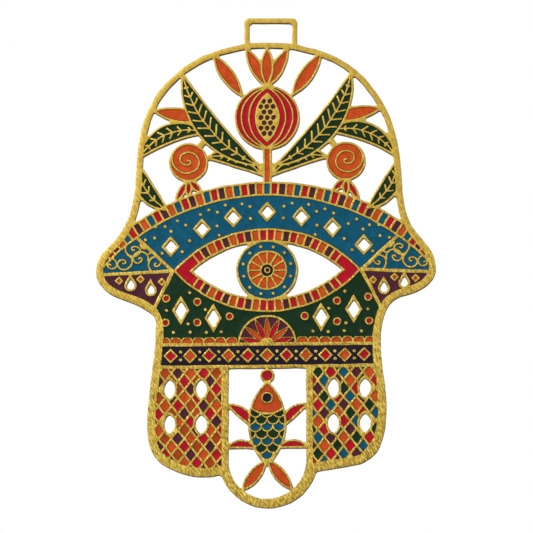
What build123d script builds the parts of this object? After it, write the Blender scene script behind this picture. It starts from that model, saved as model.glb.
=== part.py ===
from build123d import *
import math
import os

# A pierced brass hamsa with a hanging loop. Its front is etched into shallow
# recesses between raised lines, and each recess is filled with coloured enamel.
# Lengths are millimetres and angles are degrees. The drawing has x to the right
# and y up, with its zero on the hand's axis at the tip of the middle finger.
# A place in shares is a share of the half width, then a share of the height.

# Used all over the drawing
RIGHT_ANGLE = 90.0
OVERRUN = 1.0

# Hand outline
HAND_HEIGHT = 104.6
HAND_HALF_WIDTH = 38.1
RIM_TOP = 1.2
RIM_BOTTOM = 2.05
NOTCH_RADIUS = 1.0
RIGHT_EDGE_SHARES = [
    (0.284, 0.076),
    (0.462, 0.087),
    (0.613, 0.108),
    (0.676, 0.154),
    (0.680, 0.275),
    (0.667, 0.386),
    (0.729, 0.439),
    (0.891, 0.464),
    (0.982, 0.501),
    (0.963, 0.544),
    (0.859, 0.594),
    (0.802, 0.649),
    (0.782, 0.732),
    (0.709, 0.847),
    (0.512, 0.944),
    (0.211, 0.995),
]
LEFT_EDGE_SHARES = [
    (-0.165, 0.999),
    (-0.455, 0.960),
    (-0.671, 0.880),
    (-0.763, 0.762),
    (-0.788, 0.659),
    (-0.882, 0.582),
    (-0.992, 0.531),
    (-0.991, 0.489),
    (-0.896, 0.457),
    (-0.717, 0.428),
    (-0.655, 0.405),
    (-0.650, 0.384),
    (-0.676, 0.281),
    (-0.700, 0.176),
    (-0.666, 0.117),
    (-0.544, 0.081),
    (-0.268, 0.072),
]

# Plate and enamel
PLATE_THICKNESS = 1.5
RECESS_DEPTH = 0.5
ENAMEL_DEPTH = 0.38
LINE = 0.5
FRAME_LINE = 0.8
VEIN = 0.4
OPENING_CORNER = 0.3
SMALLEST_CELL_SHARE = 0.5
SLIVER_SHARE = 0.3
CORNER_ROOM_SHARE = 0.4
FLAT_ANGLE = 165.0

# Hanging loop
LOOP_WIDTH = 11.8
LOOP_HEIGHT = 5.9
LOOP_BAR = 1.1
LOOP_OFFSET = 0.8
LOOP_CORNER = 1.0
LOOP_INNER_CORNER = 0.9
LOOP_ROOT_CORNER = 0.4

# Mosaic arch under the fruit
ARCH_TOP_SHARE = 0.701
ARCH_RADIUS = 53.0
ARCH_WIDTH = 3.3
ARCH_CELL = 1.75

# Middle fruit, its crown, stem and seeds
FRUIT_HEIGHT_SHARE = 0.840
FRUIT_RADIUS = 7.3
FRUIT_RIB_SHARES = (0.56, 0.79)
SEED_WINDOW_SHARES = (0.78, 0.38)
SEED_RADIUS = 0.5
SEED_ROW_ANGLE = 60.0
WHOLE_SEED_SHARE = 0.7
CROWN_TIP_SHARES = (0.0, -0.67, 0.67)
CROWN_RISE = 1.5
STEM_WIDTH = 2.0

# Side fruits, which hang over the arch
SIDE_FRUIT_PLACE_SHARE = 0.462
SIDE_FRUIT_RADIUS = 4.4
SIDE_COIL_LEAN = 30.0
SIDE_CROWN_LENGTH = 3.1
SIDE_CROWN_RISE = 0.9
SIDE_STEM_WIDTH = 1.3

# Leaves as base, tip, and the rises of both edges as shares of the leaf's length
LEAF_SHARES = {
    "tall_leaf_green": ((0.030, 0.733), (0.500, 0.944), -0.025, -0.230),
    "shoulder_leaf_green": ((0.345, 0.806), (0.755, 0.750), 0.330, 0.060),
    "low_leaf_green": ((0.026, 0.712), (0.365, 0.752), 0.310, 0.010),
    "rim_leaf_green": ((0.575, 0.640), (0.765, 0.752), 0.010, -0.300),
}
LEAF_BARB_PITCH = 2.0
BARB_SLOPE_SHARE = 0.9
BUD_SHARES = [((0.140, 0.885), (0.325, 0.981), 0.135), ((0.345, 0.836), (0.680, 0.858), 0.130)]

# Eye
EYE_HEIGHT_SHARE = 0.509
EYE_HALF_WIDTH = 21.0
EYE_RISE = 9.5
LID_WIDTH = 3.1
LID_CELL = 1.8
LID_END = 3.0
IRIS_RING = 1.9
IRIS_PETALS = 12
PUPIL_RADIUS = 1.7

# Small figures
DOT_RADIUS = 0.38
RING_RADIUS = 0.95
WINDOW_LINE = 0.55
SCROLL_LINE = 0.45
SCROLL_PITCH = 1.85

# Blue shoulder field with lozenge windows
SHOULDER_WINDOW_WIDTH = 4.2
SHOULDER_WINDOW_HEIGHT = 4.8
SHOULDER_WINDOW_SHARES = [(0.0, 0.635), (0.200, 0.624), (0.382, 0.600), (0.566, 0.562)]
SHOULDER_DOT_SHARES = [
    (0.100, 0.647),
    (0.097, 0.621),
    (0.291, 0.635),
    (0.293, 0.605),
    (0.281, 0.585),
    (0.476, 0.608),
    (0.452, 0.575),
    (0.562, 0.595),
    (0.660, 0.581),
    (0.655, 0.605),
    (0.390, 0.631),
    (0.497, 0.551),
    (0.617, 0.548),
    (0.714, 0.577),
    (0.147, 0.653),
    (0.244, 0.650),
    (0.341, 0.640),
    (0.525, 0.617),
    (0.598, 0.605),
]

# Thumbs
THUMB_NOTCH_SHARE = (0.900, 0.628)
THUMB_TIP_SHARE = (1.100, 0.500)
WAIST_SHARE = (0.700, 0.400)
THUMB_SCROLL_PITCH = 1.4
THUMB_SCROLL_TURN = 75.0
SCROLL_HALF_TURNS = 3
THUMB_SCROLL_SHARES = [
    (0.650, 0.523),
    (0.742, 0.535),
    (0.840, 0.530),
    (0.785, 0.558),
    (0.925, 0.522),
    (0.710, 0.561),
]
THUMB_WINDOW_RADIUS = 1.4
THUMB_WINDOW_HEIGHT = 2.7
THUMB_WINDOW_SHARES = [(0.682, 0.468), (0.800, 0.479)]
THUMB_TILE_SHARES = [(0.618, 0.486), (0.742, 0.492), (0.868, 0.489)]
TILE_SIZE = 2.0

# Palm under the eye
BAND_TOP_SHARE = 0.350
ROSETTE_RADIUS = 6.6
ROSETTE_PETALS = 7
ROSETTE_HUB = 1.6
PALM_WINDOW_WIDTH = 3.9
PALM_WINDOW_HEIGHT = 6.6
PALM_WINDOW_SHARES = [(0.505, 0.424), (0.315, 0.407)]
PALM_RING_SHARES = [(0.408, 0.398), (0.408, 0.442), (0.595, 0.398), (0.220, 0.410), (0.590, 0.450)]
PALM_DOT_SHARES = [
    (0.268, 0.377),
    (0.357, 0.376),
    (0.451, 0.377),
    (0.549, 0.377),
    (0.454, 0.462),
    (0.588, 0.424),
    (0.462, 0.394),
    (0.360, 0.425),
]
SCALLOP_PITCH = 2.5

# Cross band with diamonds
BAND_HEIGHT = 5.0
BAND_DIAMONDS = 11
DIAMOND_HEIGHT = 3.4

# Side fingers with a trellis and almond windows
FINGER_BAR = 1.5
TRELLIS_PITCH = 2.25
TRELLIS_ANGLE = 52.0
ALMOND_WIDTH = 3.6
ALMOND_HEIGHT = 5.6
ALMOND_SHARES = [(0.385, 0.255), (0.570, 0.255), (0.385, 0.180), (0.570, 0.180)]

# Middle finger with a hanging fish
FISH_TOP_SHARE = 0.272
FISH_TAIL_SHARE = 0.088
FISH_HALF_WIDTH = 4.3
FISH_HEAD_SHARE = 0.70
FISH_EYE_RADIUS = 0.95
SCALE_WIDTH = 2.6
SCALE_STEP = 1.6
TAIL_SHARE = (0.150, 0.036)
TAIL_RISE = 1.45
FIN_SHARES = ((0.070, 0.165), (0.246, 0.222), 0.26, -0.02)
LOWER_FIN_SHARES = ((0.055, 0.125), (0.246, 0.126), 0.30, 0.02)
BEAD_RADIUS = 1.6


def spot(share, side=1):
    """A place on the hand, from shares of its half width and its height."""
    return Vector(side * share[0] * HAND_HALF_WIDTH, share[1] * HAND_HEIGHT)


def level(share):
    return share * HAND_HEIGHT


def ray(angle, length):
    return Vector(math.cos(math.radians(angle)), math.sin(math.radians(angle))) * length


def disc(centre, radius):
    return Pos(centre.X, centre.Y) * Circle(radius)


def ring(centre, outer, inner):
    return disc(centre, outer) - disc(centre, inner)


def polygon(*points):
    return make_face(Polyline(*points, close=True))


def lozenge(centre, width, height):
    across, up = Vector(width / 2, 0), Vector(0, height / 2)
    return polygon(centre - across, centre - up, centre + across, centre + up)


def drop(centre, radius, height):
    """A drop that stands on its round end."""
    lean = radius / height
    side, up = radius * math.sqrt(1 - lean**2), radius * lean
    left, right = centre + Vector(-side, up), centre + Vector(side, up)
    tip = centre + Vector(0, height)
    bowl = ThreePointArc(left, centre - Vector(0, radius), right)
    return make_face([bowl, Line(right, tip), Line(tip, left)])


def lens(base, tip, left_rise, right_rise):
    """A leaf between two arcs, whose rises are measured to the left of base to tip."""
    along = tip - base
    left = Vector(-along.Y, along.X).normalized()
    middle = (base + tip) / 2
    there = ThreePointArc(base, middle + left * left_rise, tip)
    back = ThreePointArc(tip, middle + left * right_rise, base)
    return make_face([there, back])


def inset(shape, distance):
    return offset(shape, amount=-distance, kind=Kind.INTERSECTION)


def along_from(corner, edge, distance):
    """The point and the way at this distance from a corner along an edge."""
    share = distance / edge.length
    if (edge @ 0 - corner).length < (edge @ 1 - corner).length:
        return edge @ share, edge % share
    return edge @ (1 - share), (edge % (1 - share)) * -1


def corner_patch(face, corner, edges):
    """The metal that rounds a corner of an opening, or None where it needs none."""
    ways = [along_from(corner, edge, 0)[1] for edge in edges]
    angle = math.radians(ways[0].get_angle(ways[1]))
    if angle > math.radians(FLAT_ANGLE):
        return None
    room = CORNER_ROOM_SHARE * min(edge.length for edge in edges)
    reach = min(OPENING_CORNER / math.tan(angle / 2), room)
    inner = (ways[0] + ways[1]).normalized()
    if not face.is_inside(corner + inner * reach / 2):
        return None
    (near, near_way), (far, far_way) = (along_from(corner, edge, reach) for edge in edges)
    chord, middle = far - near, (near + far) / 2
    out = Vector(-chord.Y, chord.X).normalized()
    out = out if out.dot(corner - middle) > 0 else out * -1
    turn = math.pi - math.radians(near_way.get_angle(far_way))
    arc = ThreePointArc(near, middle + out * chord.length / 2 * math.tan(turn / 4), far)
    aside = chord.normalized() * OVERRUN
    beyond = [far, far + aside, corner + out * OVERRUN, near - aside, near]
    return make_face([arc, Polyline(*beyond)])


def rounded(face):
    """The same opening with its corners rounded, as an etch leaves them."""
    wire = face.outer_wire()
    patches = []
    for vertex in wire.vertices():
        edges = [edge for edge in wire.edges() if vertex in edge.vertices()]
        if len(edges) == 2:
            patches.append(corner_patch(face, Vector(vertex), edges))
    left = face - [patch for patch in patches if patch]
    return left.faces().sort_by(SortBy.AREA)[-1]


def drawn_line(start, end, width):
    return trace(Line(start, end), width)


def stroke(edges, width):
    """A drawn line of this width with round ends."""
    ends = [edges[0] @ 0, edges[-1] @ 1]
    return [trace(edge, width) for edge in edges] + [disc(end, width / 2) for end in ends]


def spiral(centre, pitch, half_turns, start_angle, hand):
    """Half circles that widen steadily from the centre outwards."""
    radius = pitch / 4
    middle = centre
    point = centre + ray(start_angle, radius)
    edges = []
    for _ in range(half_turns):
        out = (point - middle).normalized()
        side = Vector(-out.Y, out.X) * hand
        end = middle - out * radius
        edges.append(ThreePointArc(point, middle + side * radius, end))
        radius += pitch / 2
        middle = end + out * radius
        point = end
    return edges


def roomy(cell):
    """Whether a recess is wide enough to etch and to fill."""
    mean_width = 2 * cell.area / sum(edge.length for edge in cell.edges())
    return cell.area > SMALLEST_CELL_SHARE * LINE**2 and mean_width > SLIVER_SHARE * LINE


def cells_of(region, lines=()):
    """The separate recesses that are left of a region between drawn lines."""
    left = region - list(lines) if lines and region.faces() else region
    return [face for face in left.faces() if roomy(face)]


def touching(a, b):
    box_a, box_b = a.bounding_box(), b.bounding_box()
    across = box_a.min.X < box_b.max.X and box_b.min.X < box_a.max.X
    return across and box_a.min.Y < box_b.max.Y and box_b.min.Y < box_a.max.Y


class Drawing:
    """Recesses by node, and openings. What is drawn first lies on top."""

    def __init__(self, ground):
        self.ground = ground
        self.fills = {}
        self.openings = []
        self.covered = []

    def free(self, region):
        """What of a region lies within the rim and clear of what was drawn before."""
        if region.faces():
            region = region & self.ground
        near = [shape for shape in self.covered if region.faces() and touching(region, shape)]
        return region - near if near else region

    def cover(self, *shapes):
        self.covered.extend(shapes)

    def add(self, node, cells):
        self.fills.setdefault(node, []).extend(cells)

    def fill(self, node, region, lines=()):
        self.add(node, cells_of(self.free(region), lines))

    def open(self, region, lines=()):
        self.openings += [rounded(cell) for cell in cells_of(self.free(region), lines)]

    def window(self, outer):
        """An opening with a raised line round it."""
        self.open(inset(outer, WINDOW_LINE))
        self.cover(outer)


def edge_points(shares):
    return [(x * HAND_HALF_WIDTH, y * HAND_HEIGHT) for x, y in shares]


def rim_width(height):
    """The rim widens steadily from the top of the hand to the fingertips."""
    share = min(max(height / HAND_HEIGHT, 0.0), 1.0)
    return RIM_BOTTOM + (RIM_TOP - RIM_BOTTOM) * share


def hand_edge():
    return Spline(*edge_points(RIGHT_EDGE_SHARES + LEFT_EDGE_SHARES))


def hand_outline():
    edge = hand_edge()
    right, left = edge @ 0, edge @ 1
    lobe = ThreePointArc(left, (0, 0), right)
    face = make_face([edge, lobe])
    notches = face.vertices().sort_by(Axis.Y)[:2]
    return fillet(notches, NOTCH_RADIUS)


def hand_inside():
    """What the rim encloses above the fingertips."""
    edge = hand_edge()
    steps = 2 * len(RIGHT_EDGE_SHARES + LEFT_EDGE_SHARES)
    points = []
    for i in range(steps + 1):
        point, way = edge @ (i / steps), edge % (i / steps)
        points.append(point + Vector(-way.Y, way.X) * rim_width(point.Y))
    curve = Spline(*points)
    return make_face([curve, Line(curve @ 1, curve @ 0)])


def lobe_radius():
    """The middle fingertip's radius, from the ends of the hand's edge beside it."""
    ends = [spot(RIGHT_EDGE_SHARES[0]), spot(LEFT_EDGE_SHARES[-1])]
    return min((end.X**2 + end.Y**2) / (2 * end.Y) for end in ends)


def finger_bay():
    """The space within the rim of the middle finger, up to the cross band."""
    half = lobe_radius() - RIM_BOTTOM
    centre = Vector(0, lobe_radius())
    top = level(BAND_TOP_SHARE) - BAND_HEIGHT - FRAME_LINE / 2
    shaft = polygon((-half, centre.Y), (half, centre.Y), (half, top), (-half, top))
    return shaft + disc(centre, half)


def loop_frame(hand):
    """The hanging loop's bars, standing on the hand's top edge."""
    middle = Vector(LOOP_OFFSET, HAND_HEIGHT + LOOP_HEIGHT / 2)
    bars = Pos(middle.X, middle.Y - LOOP_CORNER) * RectangleRounded(
        LOOP_WIDTH, LOOP_HEIGHT + 2 * LOOP_CORNER, LOOP_CORNER
    )
    gap_width = LOOP_WIDTH - 2 * LOOP_BAR
    gap_top = HAND_HEIGHT + LOOP_HEIGHT - LOOP_BAR
    gap_height = LOOP_HEIGHT + LOOP_BAR
    gap = Pos(middle.X, gap_top - gap_height / 2) * Rectangle(gap_width, gap_height)
    gap = (gap - hand).faces().sort_by(SortBy.AREA)[-1]
    gap = fillet(gap.vertices().sort_by(Axis.Y)[-2:], LOOP_INNER_CORNER)
    gap = fillet(gap.vertices().sort_by(Axis.Y)[:2], LOOP_ROOT_CORNER)
    whole = hand + bars
    side = LOOP_WIDTH / 2 + LOOP_ROOT_CORNER
    roots = [
        vertex
        for vertex in whole.vertices()
        if abs(vertex.X - middle.X) < side and HAND_HEIGHT - LOOP_HEIGHT < vertex.Y < HAND_HEIGHT
    ]
    roots = [vertex for vertex in roots if abs(vertex.X - middle.X) > gap_width / 2]
    return fillet(roots, LOOP_ROOT_CORNER) - gap


def arch_centre():
    return Vector(0, level(ARCH_TOP_SHARE) - ARCH_RADIUS)


def arch_disc(step):
    """All that lies under the mosaic arch's upper edge, lowered by a step."""
    return disc(arch_centre(), ARCH_RADIUS - step)


def arch_height(x):
    """Where the arch's upper edge is at this distance from the hand's axis."""
    return arch_centre().Y + math.sqrt(ARCH_RADIUS**2 - x**2)


def leaf(base, tip, left_rise, right_rise):
    """A leaf's outer shape and the veins that stand on it."""
    outer = lens(base, tip, left_rise, right_rise)
    along = tip - base
    left = Vector(-along.Y, along.X).normalized()
    middle = (base + tip) / 2 + left * (left_rise + right_rise) / 2
    rib = ThreePointArc(base, middle, tip)
    half_width = abs(left_rise - right_rise) / 2
    count = int(rib.length / LEAF_BARB_PITCH)
    veins = [trace(rib, VEIN)]
    for i in range(1, count):
        share = i / count
        root, way = rib @ share, rib % share
        # The leaf's width falls off from its middle as a parabola.
        reach = half_width * 4 * share * (1 - share) - LINE - VEIN
        if reach < LINE:
            continue
        for side in (1, -1):
            slope = Vector(-way.Y, way.X) * side + way * BARB_SLOPE_SHARE
            veins.append(drawn_line(root, root + slope * reach, VEIN))
    return outer, veins


def petal(base, tip, rise):
    return lens(base, tip, rise, -rise)


def middle_fruit(drawing):
    """A fruit with a window of seeds, its crown at the rim and its stem on the arch."""
    centre = Vector(0, level(FRUIT_HEIGHT_SHARE))
    body = disc(centre, FRUIT_RADIUS)
    skin = disc(centre, FRUIT_RADIUS - LINE)
    tall_share, wide_share = SEED_WINDOW_SHARES
    window_half = Vector(0, FRUIT_RADIUS * tall_share)
    seed_window = petal(centre - window_half, centre + window_half, FRUIT_RADIUS * wide_share)
    pole = Vector(0, FRUIT_RADIUS - LINE)
    ribs = [seed_window]
    for share in FRUIT_RIB_SHARES:
        for side in (1, -1):
            bulge = centre + Vector(side * FRUIT_RADIUS * share, 0)
            ribs.append(trace(ThreePointArc(centre - pole, bulge, centre + pole), VEIN))
    drawing.fill("middle_fruit_red", skin, ribs)

    room = inset(seed_window, LINE)
    pitch = 2 * SEED_RADIUS + VEIN
    row_pitch = pitch * math.sin(math.radians(SEED_ROW_ANGLE))
    rows = int(window_half.Y / row_pitch)
    columns = int(FRUIT_RADIUS / pitch)
    seeds = []
    for row in range(-rows, rows + 1):
        shift = pitch / 2 if row % 2 else 0.0
        for column in range(-columns, columns + 1):
            seeds.append(disc(centre + Vector(column * pitch + shift, row * row_pitch), SEED_RADIUS))
    least = WHOLE_SEED_SHARE * math.pi * SEED_RADIUS**2
    kept = [cell for cell in cells_of(room & (Sketch() + seeds)) if cell.area > least]
    drawing.add("middle_fruit_seeds_purple", kept)
    shapes = [body]
    drawing.cover(body)

    crown_base = centre + pole
    for share in CROWN_TIP_SHARES:
        outer = petal(crown_base, Vector(FRUIT_RADIUS * share, HAND_HEIGHT - RIM_TOP / 2), CROWN_RISE)
        drawing.fill("middle_fruit_crown_orange", inset(outer, LINE))
        drawing.cover(outer)
        shapes.append(outer)
    foot, top = level(ARCH_TOP_SHARE) - ARCH_WIDTH / 2, centre.Y - FRUIT_RADIUS
    stem = Pos(0, (foot + top) / 2) * Rectangle(STEM_WIDTH, top - foot + OVERRUN)
    return shapes, stem


def side_fruit(drawing, side, name):
    """A fruit with a coiled line, hanging from the tall leaf with its crown down."""
    x = SIDE_FRUIT_PLACE_SHARE * HAND_HALF_WIDTH
    centre = Vector(side * x, arch_height(x) + SIDE_CROWN_LENGTH + SIDE_FRUIT_RADIUS)
    body = disc(centre, SIDE_FRUIT_RADIUS)
    half_turns = int(2 * (SIDE_FRUIT_RADIUS - LINE) / SCROLL_PITCH)
    coil = spiral(centre, SCROLL_PITCH, half_turns, RIGHT_ANGLE - side * SIDE_COIL_LEAN, side)
    skin = disc(centre, SIDE_FRUIT_RADIUS - LINE)
    drawing.fill(f"{name}_fruit_orange", skin, stroke(coil, SCROLL_LINE))
    drawing.cover(body)
    shapes = [body]
    crown_base = centre - Vector(0, SIDE_FRUIT_RADIUS - LINE)
    for lean in (0, -1, 1):
        tip_x = centre.X + lean * SIDE_CROWN_LENGTH
        outer = petal(crown_base, Vector(tip_x, arch_height(tip_x) - LINE), SIDE_CROWN_RISE)
        drawing.fill("side_fruit_crowns_red", inset(outer, LINE) - arch_disc(0))
        drawing.cover(outer)
        shapes.append(outer)
    return shapes, centre


def dome(drawing):
    """Fruit and leaves in the open upper part of the hand."""
    shapes, stem = middle_fruit(drawing)
    for side, name in ((1, "right"), (-1, "left")):
        fruit_shapes, fruit_centre = side_fruit(drawing, side, name)
        shapes += fruit_shapes
        for leaf_name, (base, tip, left_share, right_share) in LEAF_SHARES.items():
            base, tip = spot(base, side), spot(tip, side)
            length = (tip - base).length
            outer, veins = leaf(base, tip, side * left_share * length, side * right_share * length)
            drawing.fill(f"{name}_{leaf_name}", inset(outer, LINE) - arch_disc(0), veins)
            drawing.cover(outer)
            shapes.append(outer)
        shoulder_leaf_base = spot(LEAF_SHARES["shoulder_leaf_green"][0], side)
        shapes.append(drawn_line(fruit_centre, shoulder_leaf_base, SIDE_STEM_WIDTH))
        for base, tip, rise_share in BUD_SHARES:
            base, tip = spot(base, side), spot(tip, side)
            bud = petal(base, tip, rise_share * (tip - base).length)
            drawing.fill(f"{name}_buds_orange", inset(bud, LINE))
            drawing.cover(bud)
            shapes.append(bud)
    drawing.fill("stem_orange", inset(stem, LINE) - arch_disc(0))
    shapes.append(stem)
    drawing.open(drawing.ground - arch_disc(0), shapes)
    drawing.cover(drawing.ground - arch_disc(0))


def mosaic_arch(drawing):
    centre = arch_centre()
    step = math.degrees(ARCH_CELL / ARCH_RADIUS)
    count = int(math.degrees(math.asin(min(HAND_HALF_WIDTH / ARCH_RADIUS, 1.0))) / step)
    near, far = ARCH_RADIUS - ARCH_WIDTH - OVERRUN, ARCH_RADIUS + OVERRUN
    bars = []
    for i in range(-count, count + 1):
        angle = RIGHT_ANGLE + (i + 0.5) * step
        bars.append(drawn_line(centre + ray(angle, near), centre + ray(angle, far), LINE))
    colours = ("teal", "red", "purple", "orange")
    band = drawing.free(arch_disc(LINE) - arch_disc(ARCH_WIDTH - LINE))
    for cell in cells_of(band, bars):
        across = cell.center() - centre
        place = round(math.degrees(math.atan2(across.X, across.Y)) / step)
        drawing.add(f"arch_mosaic_{colours[place % len(colours)]}", [cell])
    drawing.cover(drawing.ground - arch_disc(ARCH_WIDTH))


def eye_height():
    return level(EYE_HEIGHT_SHARE)


def lid_radius():
    return (EYE_HALF_WIDTH**2 + EYE_RISE**2) / (2 * EYE_RISE)


def eye_lens(step):
    """The eye's pointed oval, drawn in by a step on both lids."""
    fall = lid_radius() - EYE_RISE
    radius = lid_radius() - step
    corner = Vector(math.sqrt(radius**2 - fall**2), 0)
    middle = Vector(0, eye_height())
    return lens(middle - corner, middle + corner, radius - fall, fall - radius)


def eye(drawing):
    """Mosaic lids, an iris of rings and petals, and open whites."""
    middle = Vector(0, eye_height())
    radius = lid_radius()
    fall = radius - EYE_RISE
    step = math.degrees(LID_CELL / radius)
    count = int((EYE_HALF_WIDTH - LID_END) / LID_CELL)
    near, far = radius - LID_WIDTH - LINE, radius + OVERRUN
    bars = []
    for side in (1, -1):
        centre = middle - Vector(0, side * fall)
        for i in range(-count, count + 1):
            angle = side * RIGHT_ANGLE + i * step
            bars.append(drawn_line(centre + ray(angle, near), centre + ray(angle, far), LINE))
    colours = ("red", "orange", "purple")
    for cell in cells_of(eye_lens(LINE) - eye_lens(LID_WIDTH - LINE), bars):
        across = cell.center() - middle
        height = abs(across.Y) + fall
        place = math.floor(math.degrees(math.atan2(abs(across.X), height)) / step)
        place = 0 if place >= count else place
        drawing.add(f"eye_lid_{colours[place % len(colours)]}", [cell])

    iris = EYE_RISE - LID_WIDTH + LINE
    drawing.open(eye_lens(LID_WIDTH), [disc(middle, iris)])
    ring_outer = iris - LINE
    ring_inner = ring_outer - IRIS_RING
    turn = 4 * RIGHT_ANGLE / IRIS_PETALS
    beads, bars = [], []
    for i in range(IRIS_PETALS):
        bead_centre = middle + ray((i + 0.5) * turn, (ring_outer + ring_inner) / 2)
        beads.append(disc(bead_centre, DOT_RADIUS))
        bars.append(drawn_line(middle, middle + ray(i * turn, iris), VEIN))
    drawing.fill("iris_ring_teal", ring(middle, ring_outer, ring_inner), beads)
    drawing.fill("iris_petals_orange", ring(middle, ring_inner - LINE, PUPIL_RADIUS), bars)
    pupil = disc(middle, PUPIL_RADIUS - VEIN)
    drawing.fill("pupil_navy", pupil, [ring(middle, 2 * DOT_RADIUS, DOT_RADIUS)])
    drawing.cover(eye_lens(0))


def eye_corner(side):
    return Vector(side * EYE_HALF_WIDTH, eye_height())


def side_lines(side):
    """The raised lines that run from the eye's corner out to the rim."""
    corner = eye_corner(side)
    ends = [spot(share, side) for share in (THUMB_NOTCH_SHARE, THUMB_TIP_SHARE, WAIST_SHARE)]
    return [drawn_line(corner, end, FRAME_LINE) for end in ends]


def shoulder_field(drawing):
    """Dotted blue ground between the arch and the eye, with lozenge windows."""
    high = level(ARCH_TOP_SHARE)
    right, left = (spot(THUMB_NOTCH_SHARE, side) for side in (1, -1))
    region = polygon(
        eye_corner(-1), eye_corner(1), right, (right.X, high), (left.X, high), left
    )
    for place in SHOULDER_WINDOW_SHARES:
        for side in (1, -1) if place[0] else (1,):
            centre = spot(place, side)
            drawing.window(lozenge(centre, SHOULDER_WINDOW_WIDTH, SHOULDER_WINDOW_HEIGHT))
    dots = [disc(spot(place, side), DOT_RADIUS) for place in SHOULDER_DOT_SHARES for side in (1, -1)]
    lines = side_lines(1) + side_lines(-1)
    drawing.fill("shoulder_field_teal", region, dots + lines)
    drawing.cover(region)


def thumb(drawing, side, name):
    """Scrolls over a ground of small tiles, with drop windows."""
    corner = eye_corner(side)
    notch, tip, waist = (
        spot(share, side) for share in (THUMB_NOTCH_SHARE, THUMB_TIP_SHARE, WAIST_SHARE)
    )
    lines = side_lines(side)
    scrolls = []
    for i, place in enumerate(THUMB_SCROLL_SHARES):
        hand = side if i % 2 else -side
        start = RIGHT_ANGLE - side * i * THUMB_SCROLL_TURN
        turns = spiral(spot(place, side), THUMB_SCROLL_PITCH, SCROLL_HALF_TURNS, start, hand)
        scrolls += stroke(turns, SCROLL_LINE)
    upper = polygon(corner, notch, (tip.X, notch.Y), tip)
    drawing.fill(f"{name}_thumb_scroll_teal", upper, lines + scrolls)
    drawing.cover(upper)

    for place in THUMB_WINDOW_SHARES:
        drawing.window(drop(spot(place, side), THUMB_WINDOW_RADIUS, THUMB_WINDOW_HEIGHT))
    for place in THUMB_TILE_SHARES:
        tile = lozenge(spot(place, side), TILE_SIZE, TILE_SIZE)
        drawing.fill(f"{name}_thumb_tiles_orange", inset(tile, VEIN))
        drawing.cover(tile)
    lower = polygon(corner, tip, (tip.X, waist.Y), waist)
    drawing.fill(f"{name}_thumb_purple", lower, lines)
    drawing.cover(lower)


def rosette(drawing):
    """Half a flower that rises from the cross band."""
    foot = Vector(0, level(BAND_TOP_SHARE))
    pitch = 2 * RIGHT_ANGLE / ROSETTE_PETALS
    room = ROSETTE_RADIUS - LINE
    reach = ROSETTE_RADIUS - LINE / 2
    half_petal = reach * math.tan(math.radians(pitch / 2)) / 2
    hub = disc(foot, ROSETTE_HUB)
    upper = Pos(0, foot.Y + FRAME_LINE / 2 + room) * Rectangle(2 * ROSETTE_RADIUS, 2 * room)
    petals = []
    for i in range(ROSETTE_PETALS):
        outer = petal(foot, foot + ray((i + 0.5) * pitch, reach), half_petal)
        colour = "orange" if i % 2 else "red"
        cell = (inset(outer, VEIN / 2) - hub) & upper & disc(foot, room)
        drawing.fill(f"rosette_petals_{colour}", cell)
        petals.append(outer)
    drawing.fill("rosette_ground_purple", disc(foot, room) & upper, [hub] + petals)
    above = Pos(0, foot.Y + ROSETTE_RADIUS / 2) * Rectangle(2 * ROSETTE_RADIUS, ROSETTE_RADIUS)
    drawing.cover(disc(foot, ROSETTE_RADIUS) & above)


def scallops(drawing, side):
    """A row of half discs that stands on the cross band, from the rosette to the rim."""
    foot = level(BAND_TOP_SHARE) + FRAME_LINE / 2
    reach = spot(WAIST_SHARE).X - ROSETTE_RADIUS
    radius = SCALLOP_PITCH / 2
    for i in range(int(reach / SCALLOP_PITCH)):
        centre = Vector(side * (ROSETTE_RADIUS + (i + 0.5) * SCALLOP_PITCH), foot)
        above = Pos(centre.X, foot + radius / 2) * Rectangle(SCALLOP_PITCH, radius)
        drawing.fill("palm_scallops_orange", disc(centre, radius - VEIN / 2) & above)
        drawing.cover(disc(centre, radius + VEIN / 2) & above)


def palm(drawing):
    """Green fields with rings and windows on both sides of the half rosette."""
    rosette(drawing)
    foot = level(BAND_TOP_SHARE)
    studs = []
    for side in (1, -1):
        scallops(drawing, side)
        for place in PALM_WINDOW_SHARES:
            drawing.window(lozenge(spot(place, side), PALM_WINDOW_WIDTH, PALM_WINDOW_HEIGHT))
        for place in PALM_RING_SHARES:
            studs.append(disc(spot(place, side), RING_RADIUS))
            drawing.fill("palm_rings_red", disc(spot(place, side), RING_RADIUS - VEIN))
        studs += [disc(spot(place, side), DOT_RADIUS) for place in PALM_DOT_SHARES]
    right, left = (spot(WAIST_SHARE, side) for side in (1, -1))
    region = polygon(
        eye_corner(-1), eye_corner(1), right, (right.X, foot), (left.X, foot), left
    )
    cross_line = drawn_line(Vector(left.X, foot), Vector(right.X, foot), FRAME_LINE)
    lines = side_lines(1) + side_lines(-1) + studs + [cross_line]
    drawing.fill("palm_field_green", region, lines)
    drawing.cover(region)


def cross_band(drawing):
    """A dark band with a row of diamonds."""
    top = level(BAND_TOP_SHARE)
    middle = top - BAND_HEIGHT / 2
    region = Pos(0, middle) * Rectangle(2 * HAND_HALF_WIDTH, BAND_HEIGHT - FRAME_LINE)
    band = drawing.free(region)
    box = band.bounding_box()
    pitch = box.size.X / BAND_DIAMONDS
    diamonds, dots = [], []
    for i in range(BAND_DIAMONDS):
        centre = Vector(box.min.X + (i + 0.5) * pitch, middle)
        outer = lozenge(centre, DIAMOND_HEIGHT, DIAMOND_HEIGHT)
        diamonds.append(outer)
        colour = "orange" if i % 2 else "red"
        drawing.fill(f"band_diamonds_{colour}", inset(outer, VEIN))
        if i:
            for up in (1, -1):
                between = centre - Vector(pitch / 2, up * DIAMOND_HEIGHT / 4)
                dots.append(disc(between, DOT_RADIUS))
    drawing.add("cross_band_navy", cells_of(band, diamonds + dots))


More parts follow.
